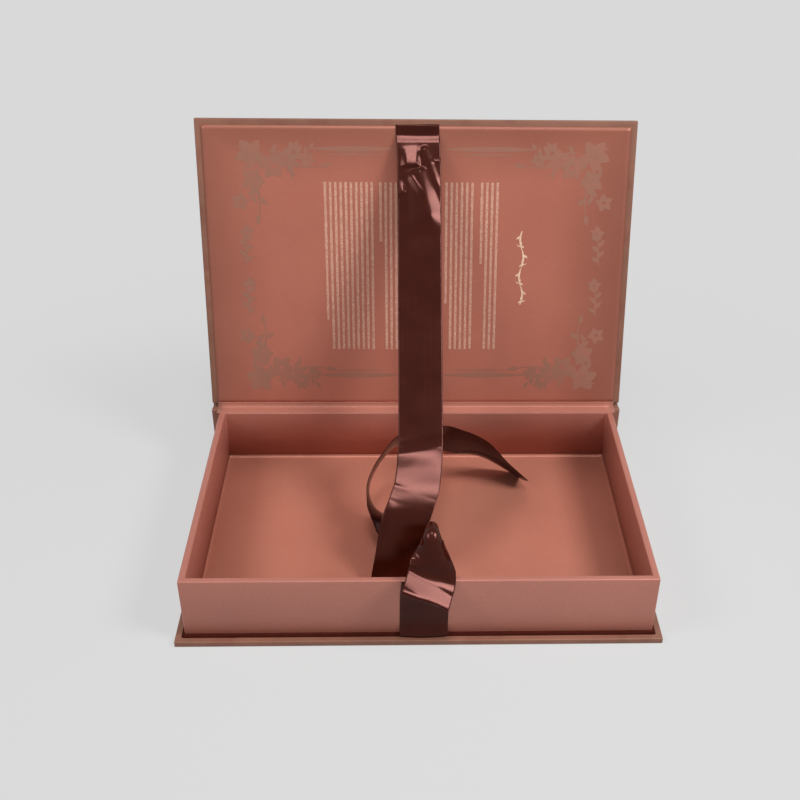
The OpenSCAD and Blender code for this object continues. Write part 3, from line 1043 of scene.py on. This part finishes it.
def front_ribbon():
    """Glued under the tray, up the front, pleated over the rim, standing up in a point, then curling
    over the floor to its free tail."""
    face = tray_low.y / MM
    low = base_high.z / MM + 0.2
    rise, loop = 0, 90
    stations = [
        [1.9, face + 20, low, rise, 0, 0, 0],
        [1.9, face + 6, low, rise, 0, 0, 0],
        [1.9, face + 0.2, low + 0.1, rise, 0, 0, 0],
        [1.9, face - 2.6, low + 0.2, rise, 0, 6, 0],
        [1.9, face - 3.1, low + 2.0, rise, 0, 8, 0],
        [1.9, face - 1.0, low + 7.5, rise, 0, 6, 0],
        [2.0, face - 0.6, 20, rise, 0, 3, 1],
        [2.0, face - 0.7, 28, rise, 0, 2, 4],
        [2.1, face - 1.4, 34.4, rise, 0, 0, 8],
        [2.1, face - 3.0, 37.4, rise, 0, 0, 9.5],
        [2.2, face - 6.0, 37.6, rise, 0, 0, 10],
        [2.3, face - 9.4, 36.4, rise, 0, 0, 10],
        [2.4, face - 11.8, 35.7, rise, 0, 0, 10],
        [2.4, face - 12.4, 36.6, rise, 0, 0, 9.6],
        [2.5, face - 12.0, 37.5, rise, 0, 0, 9.2],
        [2.9, face - 10.6, 38.4, rise, 0, 0, 9.2],
        [3.7, face - 8.0, 39.7, rise, 0, 0, 9.2],
        [4.6, face - 5.2, 41.1, rise, 0, 0, 9.2],
        [5.5, face - 2.6, 42.5, rise, 0, 0, 9.2],
        [6.2, face - 0.7, 44.7, rise, 0, 3, 9],
        [6.5, face, 49.0, rise, 0, 32, 8],
        [6.5, face + 0.9, 52.6, rise, 0, 58, 6],
        [6.4, face + 2.0, 56.5, rise, 0, 78, 4.5],
        [6.2, face + 3.2, 59.7, rise, 0, 92, 3],
        [6.0, face + 4.6, 62.8, rise, 0, 104, 2],
        [5.9, face + 7.6, 65.3, rise, 0, 116, 1],
        [5.9, face + 11.6, 66.0, rise, 0, 128, 1],
        [6.0, face + 18.0, 63.7, rise, 0, 140, 1],
        [6.5, face + 26.5, 55.8, rise, 0, 170, 0],
        [6.6, face + 35.5, 45.8, rise, 0, 168, 0],
        [6.4, face + 45.5, 35.4, rise, 0, 160, 0],
        [5.4, face + 54.5, 26.4, rise, 0, 140, 0],
        [2.0, face + 62.6, 20.0, 20, 0, 100, 0],
        [-6.4, face + 70.6, 16.4, 60, 0, 50, 0],
        [-17.0, face + 77.2, 17.2, 84, 8, 16, 0],
        [-25.2, face + 84.3, 22.6, loop, 24, 10, 0],
        [-28.1, face + 91.6, 28.6, loop, 36, 8, 0],
        [-26.4, face + 99.2, 33.9, loop, 40, 8, 0],
        [-20.7, face + 108.9, 39.2, loop, 40, 10, 0],
        [-12.2, face + 118.6, 44.2, loop, 46, 8, 0],
        [0.5, face + 124.9, 45.6, loop, 58, 6, 0],
        [13.9, face + 127.3, 41.2, loop, 70, 6, 0],
        [22.7, face + 128.2, 38.0, loop, 68, 8, 0],
        [31.7, face + 129.3, 33.6, loop, 64, 10, 0],
        [40.8, face + 130.6, 27.4, loop, 54, 12, 0],
        [50.6, face + 130.6, 19.8, loop, 44, 12, 0],
        [64.2, face + 128.4, 10.4, loop, 34, 10, 0],
    ]
    creases = [(158, -12, 164, 12, 0.5, 4.0, 3.0, 1)]
    piece, length = ribbon_sheet("front_ribbon_satin", stations, creases, ripple=0.12, seed=8.0)
    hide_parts("front_ribbon", "front_ribbon_tab")
    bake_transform(piece)


# Studio


def flat_background(nodes, links):
    """1 for rays that should see the plain background, from the camera, gloss or glass."""
    rays = nodes.new("ShaderNodeLightPath")
    seen = nodes.new("ShaderNodeMath")
    seen.operation = "MAXIMUM"
    links.new(rays.outputs["Is Camera Ray"], seen.inputs[0])
    links.new(rays.outputs["Is Glossy Ray"], seen.inputs[1])
    every = nodes.new("ShaderNodeMath")
    every.operation = "MAXIMUM"
    links.new(seen.outputs["Value"], every.inputs[0])
    links.new(rays.outputs["Is Transmission Ray"], every.inputs[1])
    return every.outputs["Value"]


def studio():
    """A floor that keeps the box's shadow near it and fades into the plain background."""
    floor_half, floor_drop = 3.0, 0.1 * MM
    fade_start, fade_end, plain_share = 0.16, 0.46, 0.78
    bm = bmesh.new()
    bmesh.ops.create_grid(bm, x_segments=1, y_segments=1, size=floor_half)
    material = bpy.data.materials.new("pale_floor")
    material.use_nodes = True
    nodes, links = material.node_tree.nodes, material.node_tree.links
    nodes.clear()
    out = nodes.new("ShaderNodeOutputMaterial")
    matt = nodes.new("ShaderNodeBsdfDiffuse")
    matt.inputs["Color"].default_value = FLOOR_COLOUR
    plain = nodes.new("ShaderNodeEmission")
    plain.inputs["Color"].default_value = PALE
    far = nodes.new("ShaderNodeVectorMath")
    far.operation = "LENGTH"
    links.new(nodes.new("ShaderNodeTexCoord").outputs["Object"], far.inputs[0])
    ring = nodes.new("ShaderNodeMapRange")
    ring.interpolation_type = "SMOOTHSTEP"
    ring.inputs["From Min"].default_value = fade_start
    ring.inputs["From Max"].default_value = fade_end
    ring.inputs["To Min"].default_value = plain_share
    links.new(far.outputs["Value"], ring.inputs["Value"])
    share = nodes.new("ShaderNodeMath")
    share.operation = "MULTIPLY"
    links.new(ring.outputs["Result"], share.inputs[0])
    links.new(flat_background(nodes, links), share.inputs[1])
    mix = nodes.new("ShaderNodeMixShader")
    links.new(share.outputs["Value"], mix.inputs["Fac"])
    links.new(matt.outputs["BSDF"], mix.inputs[1])
    links.new(plain.outputs["Emission"], mix.inputs[2])
    links.new(mix.outputs["Shader"], out.inputs["Surface"])
    bmesh.ops.translate(bm, vec=(0, 0, -floor_drop), verts=bm.verts[:])
    floor = make_piece("studio_floor", bm, material)

    world = bpy.data.worlds.new("studio")
    bpy.context.scene.world = world
    world.use_nodes = True
    nodes, links = world.node_tree.nodes, world.node_tree.links
    nodes.clear()
    out = nodes.new("ShaderNodeOutputWorld")
    light = nodes.new("ShaderNodeBackground")
    light.inputs["Color"].default_value = (1, 1, 1, 1)
    light.inputs["Strength"].default_value = SKY_STRENGTH
    seen = nodes.new("ShaderNodeBackground")
    seen.inputs["Color"].default_value = PALE
    mix = nodes.new("ShaderNodeMixShader")
    links.new(flat_background(nodes, links), mix.inputs["Fac"])
    links.new(light.outputs["Background"], mix.inputs[1])
    links.new(seen.outputs["Background"], mix.inputs[2])
    links.new(mix.outputs["Shader"], out.inputs["Surface"])


def softbox(name, place, aim, width, height, watts):
    data = bpy.data.lights.new(name, "AREA")
    data.shape = "RECTANGLE"
    data.size = width
    data.size_y = height
    data.energy = watts
    lamp = bpy.data.objects.new(name, data)
    bpy.context.scene.collection.objects.link(lamp)
    lamp.location = place
    lamp.rotation_euler = (Vector(aim) - Vector(place)).to_track_quat("-Z", "Y").to_euler()


def lights():
    aim = (0, 0, 0.05)
    softbox("softbox_left", (-0.98, -0.42, 1.00), aim, 0.6, 0.5, 7.6)
    softbox("softbox_right", (0.92, -0.42, 1.08), aim, 0.5, 0.45, 15.6)
    softbox("softbox_top", (0.0, -0.32, 1.40), (0, -0.32, 0), 0.31, 0.21, 5.2)


def camera():
    data = bpy.data.cameras.new("camera")
    data.sensor_width = SENSOR_MM
    data.lens = FOCAL_PX / PICTURE_PX * SENSOR_MM
    data.shift_x = -CENTRE_OFF_PX[0] / PICTURE_PX
    data.shift_y = CENTRE_OFF_PX[1] / PICTURE_PX
    data.clip_start, data.clip_end = 0.01, 30
    camera_object = bpy.data.objects.new("camera", data)
    bpy.context.scene.collection.objects.link(camera_object)
    turn = (
        Matrix.Rotation(-CAMERA_YAW, 4, "Z")
        @ Matrix.Rotation(math.pi / 2 - CAMERA_PITCH, 4, "X")
        @ Matrix.Rotation(CAMERA_ROLL, 4, "Z")
    )
    camera_object.matrix_world = Matrix.Translation(CAMERA_PLACE) @ turn
    bpy.context.scene.camera = camera_object


camera()
studio()
lights()
dress_boards()
cover_wrap()
tray_wrap()
foot_shadow_strip()
floor_lining()
lid_wrap()
lid_liner()
hinge_papers()
liner_border()
ruled_lines()
upright_flourish()
lid_ribbon()
front_ribbon()

bpy.context.scene.view_settings.view_transform = "Standard"
